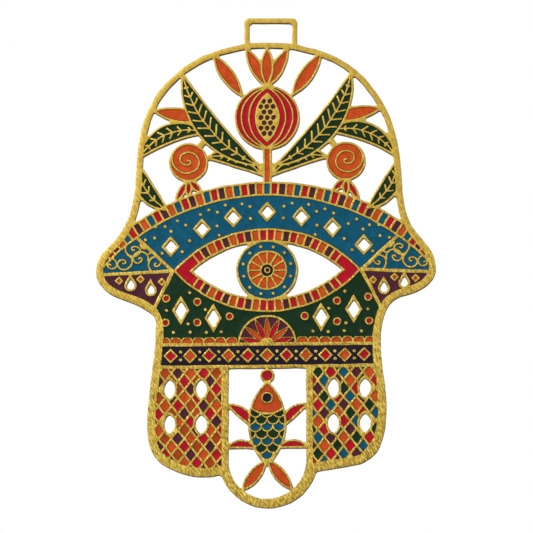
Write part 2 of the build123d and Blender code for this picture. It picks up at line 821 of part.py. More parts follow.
def side_finger(drawing, side, name, colours):
    """A trellis of many colours round almond windows."""
    for place in ALMOND_SHARES:
        centre, half = spot(place, side), Vector(0, ALMOND_HEIGHT / 2)
        drawing.window(petal(centre - half, centre + half, ALMOND_WIDTH / 2))
    top = level(BAND_TOP_SHARE) - BAND_HEIGHT - FRAME_LINE / 2
    inner, outer = lobe_radius() - RIM_BOTTOM + FINGER_BAR, HAND_HALF_WIDTH
    left, right = sorted((side * inner, side * outer))
    region = drawing.free(polygon((left, 0), (right, 0), (right, top), (left, top)))
    middle = Vector(side * (inner + outer) / 2, top / 2)
    reach = outer + top
    count = int(reach / (2 * TRELLIS_PITCH))
    bars = []
    for way in (1, -1):
        lean = way * side * (RIGHT_ANGLE - TRELLIS_ANGLE)
        along = ray(RIGHT_ANGLE - lean, reach / 2)
        across = Vector(-along.Y, along.X).normalized()
        for i in range(-count, count + 1):
            centre = middle + across * (i * TRELLIS_PITCH)
            bars.append(drawn_line(centre - along, centre + along, LINE))
    tilt = math.radians(TRELLIS_ANGLE)
    for cell in cells_of(region, bars):
        x, y = (cell.center() - middle).X * side, (cell.center() - middle).Y
        u = math.floor((x * math.sin(tilt) + y * math.cos(tilt)) / TRELLIS_PITCH)
        v = math.floor((x * math.sin(tilt) - y * math.cos(tilt)) / TRELLIS_PITCH)
        drawing.add(f"{name}_trellis_{colours[(2 * u + v) % len(colours)]}", [cell])


def fish(drawing):
    """A scaly fish that hangs head up from the cross band."""
    bay = finger_bay()
    drawing.ground = bay
    top, tail = Vector(0, level(FISH_TOP_SHARE)), Vector(0, level(FISH_TAIL_SHARE))
    body = petal(tail, top, FISH_HALF_WIDTH)
    skin = inset(body, LINE)
    gill_height = tail.Y + (top.Y - tail.Y) * FISH_HEAD_SHARE
    gill_ends = [Vector(side * FISH_HALF_WIDTH, gill_height + LINE) for side in (-1, 1)]
    gill_low = Vector(0, gill_height - SCALE_STEP)
    chord = Line(gill_ends[1], Vector(FISH_HALF_WIDTH, top.Y))
    roof = Line(Vector(FISH_HALF_WIDTH, top.Y), Vector(-FISH_HALF_WIDTH, top.Y))
    wall = Line(Vector(-FISH_HALF_WIDTH, top.Y), gill_ends[0])
    gill = ThreePointArc(gill_ends[0], gill_low, gill_ends[1])
    head = make_face([gill, chord, roof, wall])
    eye_spot = Vector(0, gill_height + (top.Y - gill_height) / 3)
    drawing.fill("fish_eye_navy", disc(eye_spot, FISH_EYE_RADIUS))
    eye_line = disc(eye_spot, FISH_EYE_RADIUS + VEIN)
    drawing.fill("fish_head_orange", skin & head, [eye_line, trace(gill, LINE)])

    rows = int((gill_height - tail.Y) / SCALE_STEP)
    columns = int(FISH_HALF_WIDTH / SCALE_WIDTH) + 1
    arcs = []
    for row in range(rows + 1):
        y = gill_height - SCALE_STEP / 2 - row * SCALE_STEP
        shift = 0.5 if row % 2 else 0.0
        for column in range(-columns, columns + 1):
            x = (column + shift) * SCALE_WIDTH
            ends = Vector(x - SCALE_WIDTH / 2, y), Vector(x + SCALE_WIDTH / 2, y)
            low = Vector(x, y - SCALE_STEP)
            arcs.append(trace(ThreePointArc(ends[0], low, ends[1]), VEIN))
    for cell in cells_of(drawing.free(skin - head), arcs + [trace(gill, LINE)]):
        row = math.floor((gill_height - cell.center().Y) / SCALE_STEP)
        drawing.add(f"fish_scales_{'green' if row % 2 else 'teal'}", [cell])
    drawing.cover(body)
    shapes = [body]

    for side in (1, -1):
        outer = petal(tail + Vector(0, SCALE_STEP), spot(TAIL_SHARE, side), TAIL_RISE)
        drawing.fill("fish_tail_orange", inset(outer, LINE))
        drawing.cover(outer)
        shapes.append(outer)
        for base, tip, left_share, right_share in (FIN_SHARES, LOWER_FIN_SHARES):
            base, tip = spot(base, side), spot(tip, side)
            length = (tip - base).length
            outer = lens(base, tip, side * left_share * length, side * right_share * length)
            drawing.fill("fish_fins_red", inset(outer, LINE))
            drawing.cover(outer)
            shapes.append(outer)
    bead_centre = top + Vector(0, BEAD_RADIUS - LINE)
    bead = disc(bead_centre, BEAD_RADIUS)
    drawing.fill("fish_bead_red", disc(bead_centre, BEAD_RADIUS - LINE))
    hook = drawn_line(bead_centre, Vector(0, bay.bounding_box().max.Y + OVERRUN), FRAME_LINE)
    drawing.open(bay, shapes + [bead, hook])


def draw():
    drawing = Drawing(hand_inside())
    dome(drawing)
    mosaic_arch(drawing)
    eye(drawing)
    shoulder_field(drawing)
    thumb(drawing, 1, "right")
    thumb(drawing, -1, "left")
    palm(drawing)
    cross_band(drawing)
    side_finger(drawing, 1, "right", ("teal", "orange", "red", "purple", "green"))
    side_finger(drawing, -1, "left", ("red", "rust", "purple", "orange"))
    fish(drawing)
    return drawing


def raised(faces, height, depth):
    """Solids of this depth on the drawing's faces, from a height above the back."""
    return [Pos(0, 0, height) * extrude(face, depth, dir=(0, 0, 1)) for face in faces]


def hung(shape):
    """The shape upright and facing forward, with the loop's bar over the origin."""
    bar = HAND_HEIGHT + LOOP_HEIGHT - LOOP_BAR
    upright = Plane(origin=(0, 0, -bar), x_dir=(1, 0, 0), z_dir=(0, -1, 0))
    return upright * Pos(0, 0, -PLATE_THICKNESS / 2) * shape


def plate(drawing):
    """Pierced brass with a recess for each cell of enamel."""
    pierced = loop_frame(hand_outline()) - drawing.openings
    recesses = [cell for cells in drawing.fills.values() for cell in cells]
    blank = extrude(pierced, PLATE_THICKNESS, dir=(0, 0, 1))
    return blank - raised(recesses, PLATE_THICKNESS - RECESS_DEPTH, RECESS_DEPTH + OVERRUN)


def enamel(cells):
    """The enamel of one node, which lies on the recess floors below the raised lines."""
    floor = PLATE_THICKNESS - RECESS_DEPTH
    return Compound(children=[shape.solid() for shape in raised(cells, floor, ENAMEL_DEPTH)])


def write(shape, node):
    shape.label = node
    export_step(shape, f"parts/{node}.step")


def main():
    os.makedirs("parts", exist_ok=True)
    drawing = draw()
    write(hung(plate(drawing)), "brass_plate")
    for node, cells in drawing.fills.items():
        write(hung(enamel(cells)), node)
        print(node, len(cells))
    print("openings", len(drawing.openings))


if __name__ == "__main__":
    main()
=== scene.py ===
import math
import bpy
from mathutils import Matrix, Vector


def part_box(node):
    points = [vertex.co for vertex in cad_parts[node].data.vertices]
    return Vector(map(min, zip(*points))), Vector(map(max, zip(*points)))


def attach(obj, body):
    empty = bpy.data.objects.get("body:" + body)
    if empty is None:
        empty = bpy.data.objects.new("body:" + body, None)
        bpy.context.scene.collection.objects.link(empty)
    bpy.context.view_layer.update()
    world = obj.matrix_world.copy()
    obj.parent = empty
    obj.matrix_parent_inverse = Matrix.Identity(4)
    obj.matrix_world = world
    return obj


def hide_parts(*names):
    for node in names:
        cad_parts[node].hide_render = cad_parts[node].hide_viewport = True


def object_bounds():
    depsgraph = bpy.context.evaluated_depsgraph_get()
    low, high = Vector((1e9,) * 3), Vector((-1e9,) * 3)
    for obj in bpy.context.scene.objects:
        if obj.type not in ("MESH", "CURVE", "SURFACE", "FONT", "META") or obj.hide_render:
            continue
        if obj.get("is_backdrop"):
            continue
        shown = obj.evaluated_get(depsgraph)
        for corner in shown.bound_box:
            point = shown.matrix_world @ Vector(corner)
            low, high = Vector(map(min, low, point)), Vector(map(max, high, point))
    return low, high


bl_info = {
    "name": "Enamelled Brass Hamsa",
    "version": (1, 0, 0),
    "blender": (4, 5, 0),
    "location": "3D View > Sidebar > Hamsa",
    "description": "Finishes a pierced brass hamsa hand and its enamel, and sets the studio",
    "category": "Object",
}

import bmesh
import bpy
from mathutils import Vector, noise

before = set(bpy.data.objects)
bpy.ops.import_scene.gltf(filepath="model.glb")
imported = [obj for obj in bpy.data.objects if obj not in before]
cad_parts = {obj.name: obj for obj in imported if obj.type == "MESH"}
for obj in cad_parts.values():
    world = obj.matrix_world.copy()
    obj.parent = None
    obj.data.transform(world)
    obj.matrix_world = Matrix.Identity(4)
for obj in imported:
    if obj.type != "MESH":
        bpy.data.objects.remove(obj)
CAD_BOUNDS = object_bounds()

ROOT = "root"
PLATE = "brass_plate"
PLATE_LOW, PLATE_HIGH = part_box(PLATE)

# Mesh work: lengths in metres, normals as the part of them along Y
WELD = 2e-6
FLAT_NORMAL = 0.98
WALL_NORMAL = 0.4
SAME_LEVEL = 2e-5
CREASE = math.radians(50.0)
SPLIT_ROUNDS = 2
INNER_STEP = 2.5  # times the longest stretch of an edge, for edges inside a face

# The slow wander of a hand-cut edge has a quicker one on it
WANDER_SEED = 7
QUICK_TIMES = 3
QUICK_SHARE = 1 / 2

# Rims of the brass and the enamel, outer one first: widths, heights and shades as shares; the
# shades are painted shade at the edges, on the brass partly tarnish
RIM_ATTRIBUTE = "rim_shade"
TONE_ATTRIBUTE = "cell_tone"
RIM_WIDTHS = (0.4, 0.6)
RIM_SHADES = (1.0, 0.55)
FRONT_DROPS = (1.0, 0.12)
BACK_WIDTH = 0.6
BACK_DROP = 0.6
MENISCUS_RISES = (1.0, 0.35)

# Brass: sizes of its marks along X, Y and Z in metres, and what noise values they span
COARSE_MARK = (0.00026, 0.0006, 0.0009)
FINE_MARK = (0.00006, 0.0004, 0.0009)
PATCH = (0.006, 0.006, 0.006)
COARSE_DETAIL = (3.0, 0.6)
COARSE_SHARE, FINE_SHARE = 0.7, 0.3
STREAK_SPAN = (0.38, 0.62)
PATCH_SPAN = (0.35, 0.65)

# Brass: its painted glints (painted highlights) and its darker brush marks, partly painted shade,
# grow from the palm down to the fingertips, standing in for how the light falls on the lower part
BRUSH_ANGLE = math.radians(24.0)
PALM_LEVEL, FINGER_LEVEL = -0.02, -0.08
GLINT_SHARES = (0.45, 1.0)
MARK_SHARES = (0.40, 0.95)
GLINT_SPAN = (0.45, 1.0)
MARK_SPAN = (0.55, 0.0)
PATCH_SHARE = 0.25
# Share of painted shade, partly tarnish, on the rounded edges of the brass
EDGE_SHARE = 0.6
BRASS_ROUGHNESS = (0.46, 0.28)
BRASS_RELIEF = 0.00004
BRASS_BUMP = 0.5
FRONT_CONTRAST, BACK_CONTRAST = 1.0, 0.45

# Cut walls of the brass
CUT_ANGLE = math.radians(90.0)
CUT_PATCH_SHARE = 0.35
CUT_METALLIC = 0.1
CUT_SPECULAR = 0.1
CUT_ROUGHNESS = (0.6, 0.45)
CUT_RELIEF = 0.00003
CUT_BUMP = 0.3

# Enamel: sizes in metres, and how strongly each unevenness shows
CLOUD = (0.0011, 0.0011, 0.0011)
SPECK = (0.00016, 0.00016, 0.00016)
SWELL = (0.0018, 0.0018, 0.0018)
CLOUD_DETAIL = (3.0, 0.6)
CLOUD_SPAN = (0.34, 0.66)
SPECK_SPAN = (0.40, 0.70)
LIGHT_TINT, DARK_TINT = (1.20, 1.20, 1.20, 1.0), (0.80, 0.80, 0.80, 1.0)
CELL_SHARE = 0.35
SPECK_SHARE = 0.45
# Painted shade: how dark the enamel turns beside the brass, where the raised lines meet it
RIM_SHADE_SHARE = 0.85
GLOSS_SPAN = (0.3, 0.7)
ENAMEL_ROUGHNESS = (0.30, 0.48)
ENAMEL_SPECULAR = 0.12
SPECK_HEIGHT = 0.08
ENAMEL_RELIEF = 0.00006
ENAMEL_BUMP = 0.35

# The frame of the picture, and the floor and lamps around it, in metres
PICTURE_SIZE = 0.1187
PICTURE_CENTRE = Vector((-0.0002, 0.0, -0.0552))
SENSOR_MILLIMETRES = 36.0
CLIP_START = 0.01
FLOOR_SIDES = 64
FLOOR_CLOUD = (0.05, 0.05, 0.05)
FLOOR_SHADE = 0.97
FLOOR_ROUGHNESS = 0.9
KEY_PLACE, KEY_SIZE = (-0.34, -0.40, 0.26), 0.34
FILL_PLACE, FILL_SIZE = (0.6, -0.5, 0.05), 0.35
BLACK = (0.0, 0.0, 0.0, 1.0)
WHITE = (1.0, 1.0, 1.0, 1.0)


class HamsaMetalSettings(bpy.types.PropertyGroup):
    """Sizes and colours of the brass."""

    edge_inset: bpy.props.FloatProperty(
        name="Edge inset",
        description="How far in from a cut edge its rounding reaches",
        default=0.00012,
        unit="LENGTH",
    )
    edge_drop: bpy.props.FloatProperty(
        name="Edge drop",
        description="How far below the front face the rounding starts on the wall",
        default=0.00011,
        unit="LENGTH",
    )
    edge_step: bpy.props.FloatProperty(
        name="Edge step",
        description="Longest straight stretch of a hand-cut edge",
        default=0.0008,
        unit="LENGTH",
    )
    wander: bpy.props.FloatProperty(
        name="Wander",
        description="How far a hand-cut edge strays from its drawn line",
        default=0.00012,
        unit="LENGTH",
    )
    wander_size: bpy.props.FloatProperty(
        name="Wander size",
        description="Length over which a hand-cut edge strays and returns",
        default=0.0030,
        unit="LENGTH",
    )
    # Painted highlight: the colour of the glints, which stand in for light caught on the brushed
    # brass.
    bright: bpy.props.FloatVectorProperty(
        name="Bright brass",
        description="Colour of the burnished streaks",
        subtype="COLOR",
        default=(0.86, 0.69, 0.150),
    )
    plain: bpy.props.FloatVectorProperty(
        name="Plain brass",
        description="Colour of the brushed metal",
        subtype="COLOR",
        default=(0.475, 0.308, 0.044),
    )
    # Also the painted shade, partly tarnish, along the rounded edges of the brass, and the patches
    # of the cut walls.
    deep: bpy.props.FloatVectorProperty(
        name="Deep brass",
        description="Colour in the brush marks",
        subtype="COLOR",
        default=(0.15, 0.085, 0.014),
    )
    cut: bpy.props.FloatVectorProperty(
        name="Cut edge",
        description="Colour of the etched walls",
        subtype="COLOR",
        default=(0.130, 0.034, 0.014),
    )


class HamsaEnamelSettings(bpy.types.PropertyGroup):
    """Sizes and colours of the enamel."""

    meniscus: bpy.props.FloatProperty(
        name="Meniscus",
        description="How far the enamel climbs the wall of its recess",
        default=0.00006,
        unit="LENGTH",
    )
    # The dark strip is painted shade where the enamel meets the brass.
    meniscus_width: bpy.props.FloatProperty(
        name="Meniscus width",
        description="Width of the dark strip of enamel beside the brass",
        default=0.00016,
        unit="LENGTH",
    )
    teal: bpy.props.FloatVectorProperty(
        name="Teal", description="Petrol blue enamel", subtype="COLOR", default=(0.0, 0.072, 0.128)
    )
    orange: bpy.props.FloatVectorProperty(
        name="Orange", description="Orange enamel", subtype="COLOR", default=(0.50, 0.060, 0.008)
    )
    red: bpy.props.FloatVectorProperty(
        name="Red", description="Red enamel", subtype="COLOR", default=(0.40, 0.002, 0.013)
    )
    green: bpy.props.FloatVectorProperty(
        name="Green",
        description="Dark green enamel",
        subtype="COLOR",
        default=(0.002, 0.020, 0.005),
    )
    purple: bpy.props.FloatVectorProperty(
        name="Purple", description="Maroon enamel", subtype="COLOR", default=(0.060, 0.010, 0.023)
    )
    navy: bpy.props.FloatVectorProperty(
        name="Navy", description="Near black enamel", subtype="COLOR", default=(0.008, 0.004, 0.014)
    )
    rust: bpy.props.FloatVectorProperty(
        name="Rust", description="Rust brown enamel", subtype="COLOR", default=(0.33, 0.045, 0.003)
    )


class HamsaStageSettings(bpy.types.PropertyGroup):
    """The camera, lamps and floor."""

    distance: bpy.props.FloatProperty(
        name="Distance",
        description="From the camera to the middle of the hand",
        default=1.2,
        unit="LENGTH",
    )
    turn: bpy.props.FloatProperty(
        name="Turn",
        description="How far the camera stands to the right",
        default=math.radians(3.5),
        unit="ROTATION",
    )
    drop: bpy.props.FloatProperty(
        name="Drop",
        description="How far the camera looks up at the hand",
        default=math.radians(9.5),
        unit="ROTATION",
    )
    floor_depth: bpy.props.FloatProperty(
        name="Floor depth",
        description="From the loop down to the floor",
        default=0.30,
        unit="LENGTH",
    )
    floor_radius: bpy.props.FloatProperty(
        name="Floor radius", description="Size of the round floor", default=2.5, unit="LENGTH"
    )
    floor_colour: bpy.props.FloatVectorProperty(
        name="Floor colour", description="Pale floor", subtype="COLOR", default=(0.86, 0.86, 0.86)
    )
    room_light: bpy.props.FloatProperty(
        name="Room light", description="Even light from all round", default=0.43
    )
    key_power: bpy.props.FloatProperty(
        name="Key lamp", description="Power of the large lamp at the upper left", default=3.1
    )
    fill_power: bpy.props.FloatProperty(
        name="Fill lamp", description="Power of the lamp at the right", default=0.7
    )


def settings_of(context):
    """The settings of the brass, of the enamel and of the stage."""
    scene = context.scene
    return scene.hamsa_metal, scene.hamsa_enamel, scene.hamsa_stage


# Mesh helpers


def working_copy(node):
    """A copy of a node's mesh, with its loose triangles joined."""
    bm = bmesh.new()
    bm.from_mesh(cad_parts[node].data)
    bmesh.ops.remove_doubles(bm, verts=bm.verts, dist=WELD)
    bm.normal_update()
    return bm


def flat_faces(bm, way, level):
    """The faces that look along Y this way, -1 for the front, and lie at this level."""
    facing = [face for face in bm.faces if face.normal.y * way > FLAT_NORMAL]
    return [face for face in facing if abs(face.calc_center_median().y - level) < SAME_LEVEL]


def split_long_edges(bm, step):
    """Divides long edges that lie level, on the faces and at their rims, so that all can wander."""
    for _ in range(SPLIT_ROUNDS):
        bm.normal_update()
        by_cuts = {}
        for edge in bm.edges:
            low, high = edge.verts
            sharp = edge.calc_face_angle(0.0) > CREASE
            cuts = int(edge.calc_length() / (step if sharp else step * INNER_STEP))
            if cuts and abs(low.co.y - high.co.y) < SAME_LEVEL:
                by_cuts.setdefault(cuts, []).append(edge)
        for cuts, edges in by_cuts.items():
            bmesh.ops.subdivide_edges(bm, edges=edges, cuts=cuts)
        bmesh.ops.triangulate(bm, faces=bm.faces)


def wander(bm, metal):
    """Moves every outline a little to and fro, as a hand does, alike on brass and enamel."""
    noise.seed_set(WANDER_SEED)
    for vert in bm.verts:
        place = Vector((vert.co.x, 0.0, vert.co.z))
        slow = noise.noise_vector(place / metal.wander_size)
        quick = noise.noise_vector(place / (metal.wander_size / QUICK_TIMES))
        shift = (slow + quick * QUICK_SHARE) * metal.wander
        vert.co.x += shift.x
        vert.co.z += shift.z


def step_rims(bm, faces, widths):
    """Insets a flat patch by each width in turn, and returns each rim's outer vertices."""
    rims = []
    for width in widths:
        made = bmesh.ops.inset_region(
            bm, faces=faces, thickness=width, depth=0.0, use_boundary=True, use_even_offset=False
        )
        inner = {vert for face in faces for vert in face.verts}
        rims.append({vert for face in made["faces"] for vert in face.verts} - inner)
    return rims


def lower_rims(rims, drops, way):
    """Moves each rim's vertices back from a face that looks this way along Y."""
    for rim, drop in zip(rims, drops):
        for vert in rim:
            vert.co.y -= way * drop


def finished_object(bm, name, materials):
    """The object of a finished piece, smooth but for its creases."""
    bm.normal_update()
    for face in bm.faces:
        face.smooth = True
    for edge in bm.edges:
        edge.smooth = edge.calc_face_angle(0.0) < CREASE
    mesh = bpy.data.meshes.new(name)
    bm.to_mesh(mesh)
    bm.free()
    mesh.validate()
    for material in materials:
        mesh.materials.append(material)
    piece = bpy.data.objects.new(name, mesh)
    bpy.context.scene.collection.objects.link(piece)
    return piece


def stand_for(piece, node):
    """Lets a finished piece take a node's place on the hand."""
    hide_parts(node)
    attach(piece, ROOT)


# Material helpers


def new_group(name, inputs, outputs):
    """A shader node group with named sockets, and its own input and output nodes."""
    tree = bpy.data.node_groups.new(name, "ShaderNodeTree")
    for label, kind, default in inputs:
        socket = tree.interface.new_socket(label, in_out="INPUT", socket_type=kind)
        if default is not None:
            socket.default_value = default
    for label, kind in outputs:
        tree.interface.new_socket(label, in_out="OUTPUT", socket_type=kind)
    return tree, tree.nodes.new("NodeGroupInput"), tree.nodes.new("NodeGroupOutput")


def add_node(tree, kind, **values):
    """A node of this kind, with its attributes set by name."""
    node = tree.nodes.new(kind)
    for key, value in values.items():
        setattr(node, key, value)
    return node


def plug(tree, socket, value):
    """Links an input to another socket, or sets it to a plain value."""
    if isinstance(value, bpy.types.NodeSocket):
        tree.links.new(value, socket)
    else:
        socket.default_value = value


def feed(tree, node, **sockets):
    """Plugs values into a node's inputs by their names, with underlines for spaces."""
    for key, value in sockets.items():
        label = key.replace("_", " ")
        plug(tree, next(s for s in node.inputs if s.name == label and s.enabled), value)


def out(node, name=None):
    """An output socket, the first that is in use if no name is given."""
    return next(s for s in node.outputs if s.enabled and name in (None, s.name))


def mapped(tree, vector, size, turn=0.0):
    """Coordinates turned in the drawing's plane and divided by a size in each direction."""
    spun = add_node(tree, "ShaderNodeVectorRotate", rotation_type="Y_AXIS")
    feed(tree, spun, Vector=vector, Angle=turn)
    scale = add_node(tree, "ShaderNodeVectorMath", operation="DIVIDE")
    tree.links.new(out(spun), scale.inputs[0])
    scale.inputs[1].default_value = size
    return out(scale)


def noise_value(tree, vector, detail=2.0, roughness=0.5):
    """Smooth noise over coordinates that are already divided by its size."""
    node = add_node(tree, "ShaderNodeTexNoise")
    feed(tree, node, Vector=vector, Scale=1.0, Detail=detail, Roughness=roughness)
    return out(node, "Fac")


def ranged(tree, value, low, high, to_low=0.0, to_high=1.0):
    """A value spread from one range to another, and held at its ends."""
    node = add_node(tree, "ShaderNodeMapRange")
    feed(tree, node, Value=value, From_Min=low, From_Max=high, To_Min=to_low, To_Max=to_high)
    return out(node)


def eased(tree, share, low, high):
    """A value that runs from low to high as a share runs from 0 to 1."""
    return ranged(tree, share, 0.0, 1.0, low, high)


def mixed(tree, share, first, second, blend="MIX"):
    """The first colour with this share of the second in it."""
    node = add_node(tree, "ShaderNodeMix", data_type="RGBA", blend_type=blend)
    for socket, value in zip((s for s in node.inputs if s.enabled), (share, first, second)):
        plug(tree, socket, value)
    return out(node)


def combined(tree, operation, first, second):
    """Two values joined by a named operation, such as ADD."""
    node = add_node(tree, "ShaderNodeMath", operation=operation)
    for socket, value in zip(node.inputs, (first, second)):
        plug(tree, socket, value)
    return out(node)


def paint(colour):
    """A colour as a socket takes it, with its alpha."""
    return (*colour, 1.0)


def metal_grain():
    """Brush marks, long patches and height of brushed metal, from a place on the hand."""
    known = bpy.data.node_groups.get("metal_grain")
    if known:
        return known
    tree, inlet, outlet = new_group(
        "metal_grain",
        [
            ("Place", "NodeSocketVector", None),
            ("Streak Angle", "NodeSocketFloat", 0.0),
        ],
        [
            ("Streaks", "NodeSocketFloat"),
            ("Patches", "NodeSocketFloat"),
            ("Height", "NodeSocketFloat"),
        ],
    )
    place = inlet.outputs["Place"]
    spun = add_node(tree, "ShaderNodeVectorRotate", rotation_type="Y_AXIS")
    feed(tree, spun, Vector=place, Angle=inlet.outputs["Streak Angle"])
    coarse = noise_value(tree, mapped(tree, out(spun), COARSE_MARK), *COARSE_DETAIL)
    fine = noise_value(tree, mapped(tree, out(spun), FINE_MARK))
    patches = noise_value(tree, mapped(tree, place, PATCH))
    coarse_part = combined(tree, "MULTIPLY", coarse, COARSE_SHARE)
    fine_part = combined(tree, "MULTIPLY", fine, FINE_SHARE)
    streaks = combined(tree, "ADD", coarse_part, fine_part)
    tree.links.new(ranged(tree, streaks, *STREAK_SPAN), outlet.inputs["Streaks"])
    tree.links.new(ranged(tree, patches, *PATCH_SPAN), outlet.inputs["Patches"])
    tree.links.new(streaks, outlet.inputs["Height"])
    return tree


def new_material(name):
    """A node material with only its shader and its place on the object."""
    material = bpy.data.materials.new(name)
    material.use_nodes = True
    tree = material.node_tree
    tree.nodes.clear()
    shader = add_node(tree, "ShaderNodeBsdfPrincipled")
    surface = add_node(tree, "ShaderNodeOutputMaterial")
    tree.links.new(out(shader), surface.inputs["Surface"])
    place = add_node(tree, "ShaderNodeTexCoord").outputs["Object"]
    return material, tree, shader, place


def grain_in(tree, place, angle):
    """The grain of brushed metal, turned by an angle in the drawing's plane."""
    node = add_node(tree, "ShaderNodeGroup", node_tree=metal_grain())
    feed(tree, node, Place=place, Streak_Angle=angle)
    return node


def bumped(tree, height, distance, strength):
    """A normal that follows a height, a distance deep."""
    node = add_node(tree, "ShaderNodeBump")
    feed(tree, node, Height=height, Distance=distance, Strength=strength)
    return out(node)


def brushed_brass(name, metal, contrast):
    """Satin brass with short brush marks and painted glints, both stronger towards the fingertips
    as painted light, and painted shade, partly tarnish, along its rounded edges.
    """
    material, tree, shader, place = new_material(name)
    grain = grain_in(tree, place, BRUSH_ANGLE)
    streaks, patches = out(grain, "Streaks"), out(grain, "Patches")
    split = add_node(tree, "ShaderNodeSeparateXYZ")
    feed(tree, split, Vector=place)
    # Painted light: the glints (painted highlights) and the darker marks (partly painted shade)
    # grow towards the fingertips, for how the light falls on the lower part.
    low = ranged(tree, out(split, "Z"), PALM_LEVEL, FINGER_LEVEL)
    painted_glint_share = eased(tree, low, *(share * contrast for share in GLINT_SHARES))
    mark_share = eased(tree, low, *(share * contrast for share in MARK_SHARES))
    painted_glints = combined(tree, "MULTIPLY", ranged(tree, streaks, *GLINT_SPAN), painted_glint_share)
    marks = combined(tree, "MULTIPLY", ranged(tree, streaks, *MARK_SPAN), mark_share)
    lit = mixed(tree, painted_glints, paint(metal.plain), paint(metal.bright))
    marked = mixed(tree, marks, lit, paint(metal.deep))
    worn_share = combined(tree, "MULTIPLY", patches, PATCH_SHARE)
    worn = mixed(tree, worn_share, marked, paint(metal.plain))
    # Painted shade, partly tarnish: the rounded edges of the brass darken towards their outer rim.
    rim = add_node(tree, "ShaderNodeAttribute", attribute_name=RIM_ATTRIBUTE)
    edge_share = combined(tree, "MULTIPLY", out(rim, "Fac"), EDGE_SHARE)
    edged = mixed(tree, edge_share, worn, paint(metal.deep))
    feed(tree, shader, Base_Color=edged, Metallic=1.0)
    feed(tree, shader, Roughness=eased(tree, streaks, *BRASS_ROUGHNESS))
    relief = bumped(tree, out(grain, "Height"), BRASS_RELIEF, BRASS_BUMP * contrast)
    feed(tree, shader, Normal=relief)
    return material


def cut_brass(metal):
    """The dark walls that the etching and piercing left."""
    material, tree, shader, place = new_material("cut_brass_edge")
    grain = grain_in(tree, place, CUT_ANGLE)
    patch_share = eased(tree, out(grain, "Patches"), 0.0, CUT_PATCH_SHARE)
    tone = mixed(tree, patch_share, paint(metal.cut), paint(metal.deep))
    feed(tree, shader, Base_Color=tone, Metallic=CUT_METALLIC, Specular_IOR_Level=CUT_SPECULAR)
    feed(tree, shader, Roughness=eased(tree, out(grain, "Streaks"), *CUT_ROUGHNESS))
    feed(tree, shader, Normal=bumped(tree, out(grain, "Height"), CUT_RELIEF, CUT_BUMP))
    return material


def enamel_body():
    """Hand-mixed enamel: its colour, with painted shade at the rim of a cell, its gloss and its
    height.
    """
    known = bpy.data.node_groups.get("enamel_body")
    if known:
        return known
    tree, inlet, outlet = new_group(
        "enamel_body",
        [
            ("Place", "NodeSocketVector", None),
            ("Colour", "NodeSocketColor", (0.5, 0.5, 0.5, 1.0)),
            ("Rim", "NodeSocketFloat", 0.0),
            ("Tone", "NodeSocketFloat", 0.5),
        ],
        [
            ("Colour", "NodeSocketColor"),
            ("Roughness", "NodeSocketFloat"),
            ("Height", "NodeSocketFloat"),
        ],
    )
    place, colour = inlet.outputs["Place"], inlet.outputs["Colour"]
    cloud = noise_value(tree, mapped(tree, place, CLOUD), *CLOUD_DETAIL)
    speck = noise_value(tree, mapped(tree, place, SPECK), detail=1.0)
    swell = noise_value(tree, mapped(tree, place, SWELL), detail=1.0)
    light = mixed(tree, 1.0, colour, LIGHT_TINT, "MULTIPLY")
    dark = mixed(tree, 1.0, colour, DARK_TINT, "MULTIPLY")
    cloudy = mixed(tree, ranged(tree, cloud, *CLOUD_SPAN), dark, light)
    toned = mixed(tree, eased(tree, inlet.outputs["Tone"], 0.0, CELL_SHARE), cloudy, dark)
    flecked = mixed(tree, ranged(tree, speck, *SPECK_SPAN, 0.0, SPECK_SHARE), toned, dark)
    # Painted shade: the enamel darkens towards black beside the brass walls.
    rim_shaded = mixed(tree, eased(tree, inlet.outputs["Rim"], 0.0, RIM_SHADE_SHARE), flecked, BLACK)
    tree.links.new(rim_shaded, outlet.inputs["Colour"])
    roughness = ranged(tree, cloud, *GLOSS_SPAN, *ENAMEL_ROUGHNESS)
    tree.links.new(roughness, outlet.inputs["Roughness"])
    height = combined(tree, "ADD", swell, combined(tree, "MULTIPLY", speck, SPECK_HEIGHT))
    tree.links.new(height, outlet.inputs["Height"])
    return tree


def enamel_material(name, colour):
    """The enamel of one colour."""
    material, tree, shader, place = new_material(name)
    body = add_node(tree, "ShaderNodeGroup", node_tree=enamel_body())
    rim = add_node(tree, "ShaderNodeAttribute", attribute_name=RIM_ATTRIBUTE)
    tone = add_node(tree, "ShaderNodeAttribute", attribute_name=TONE_ATTRIBUTE)
    feed(tree, body, Place=place, Colour=paint(colour), Rim=out(rim, "Fac"), Tone=out(tone, "Fac"))
    feed(tree, shader, Base_Color=out(body, "Colour"), Roughness=out(body, "Roughness"))
    feed(tree, shader, Specular_IOR_Level=ENAMEL_SPECULAR)
    feed(tree, shader, Normal=bumped(tree, out(body, "Height"), ENAMEL_RELIEF, ENAMEL_BUMP))
    return material


def material_for(enamel, colour):
    """The enamel material of a colour, made on first use."""
    name = f"flowed_{colour}_enamel"
    return bpy.data.materials.get(name) or enamel_material(name, getattr(enamel, colour))


# Pieces


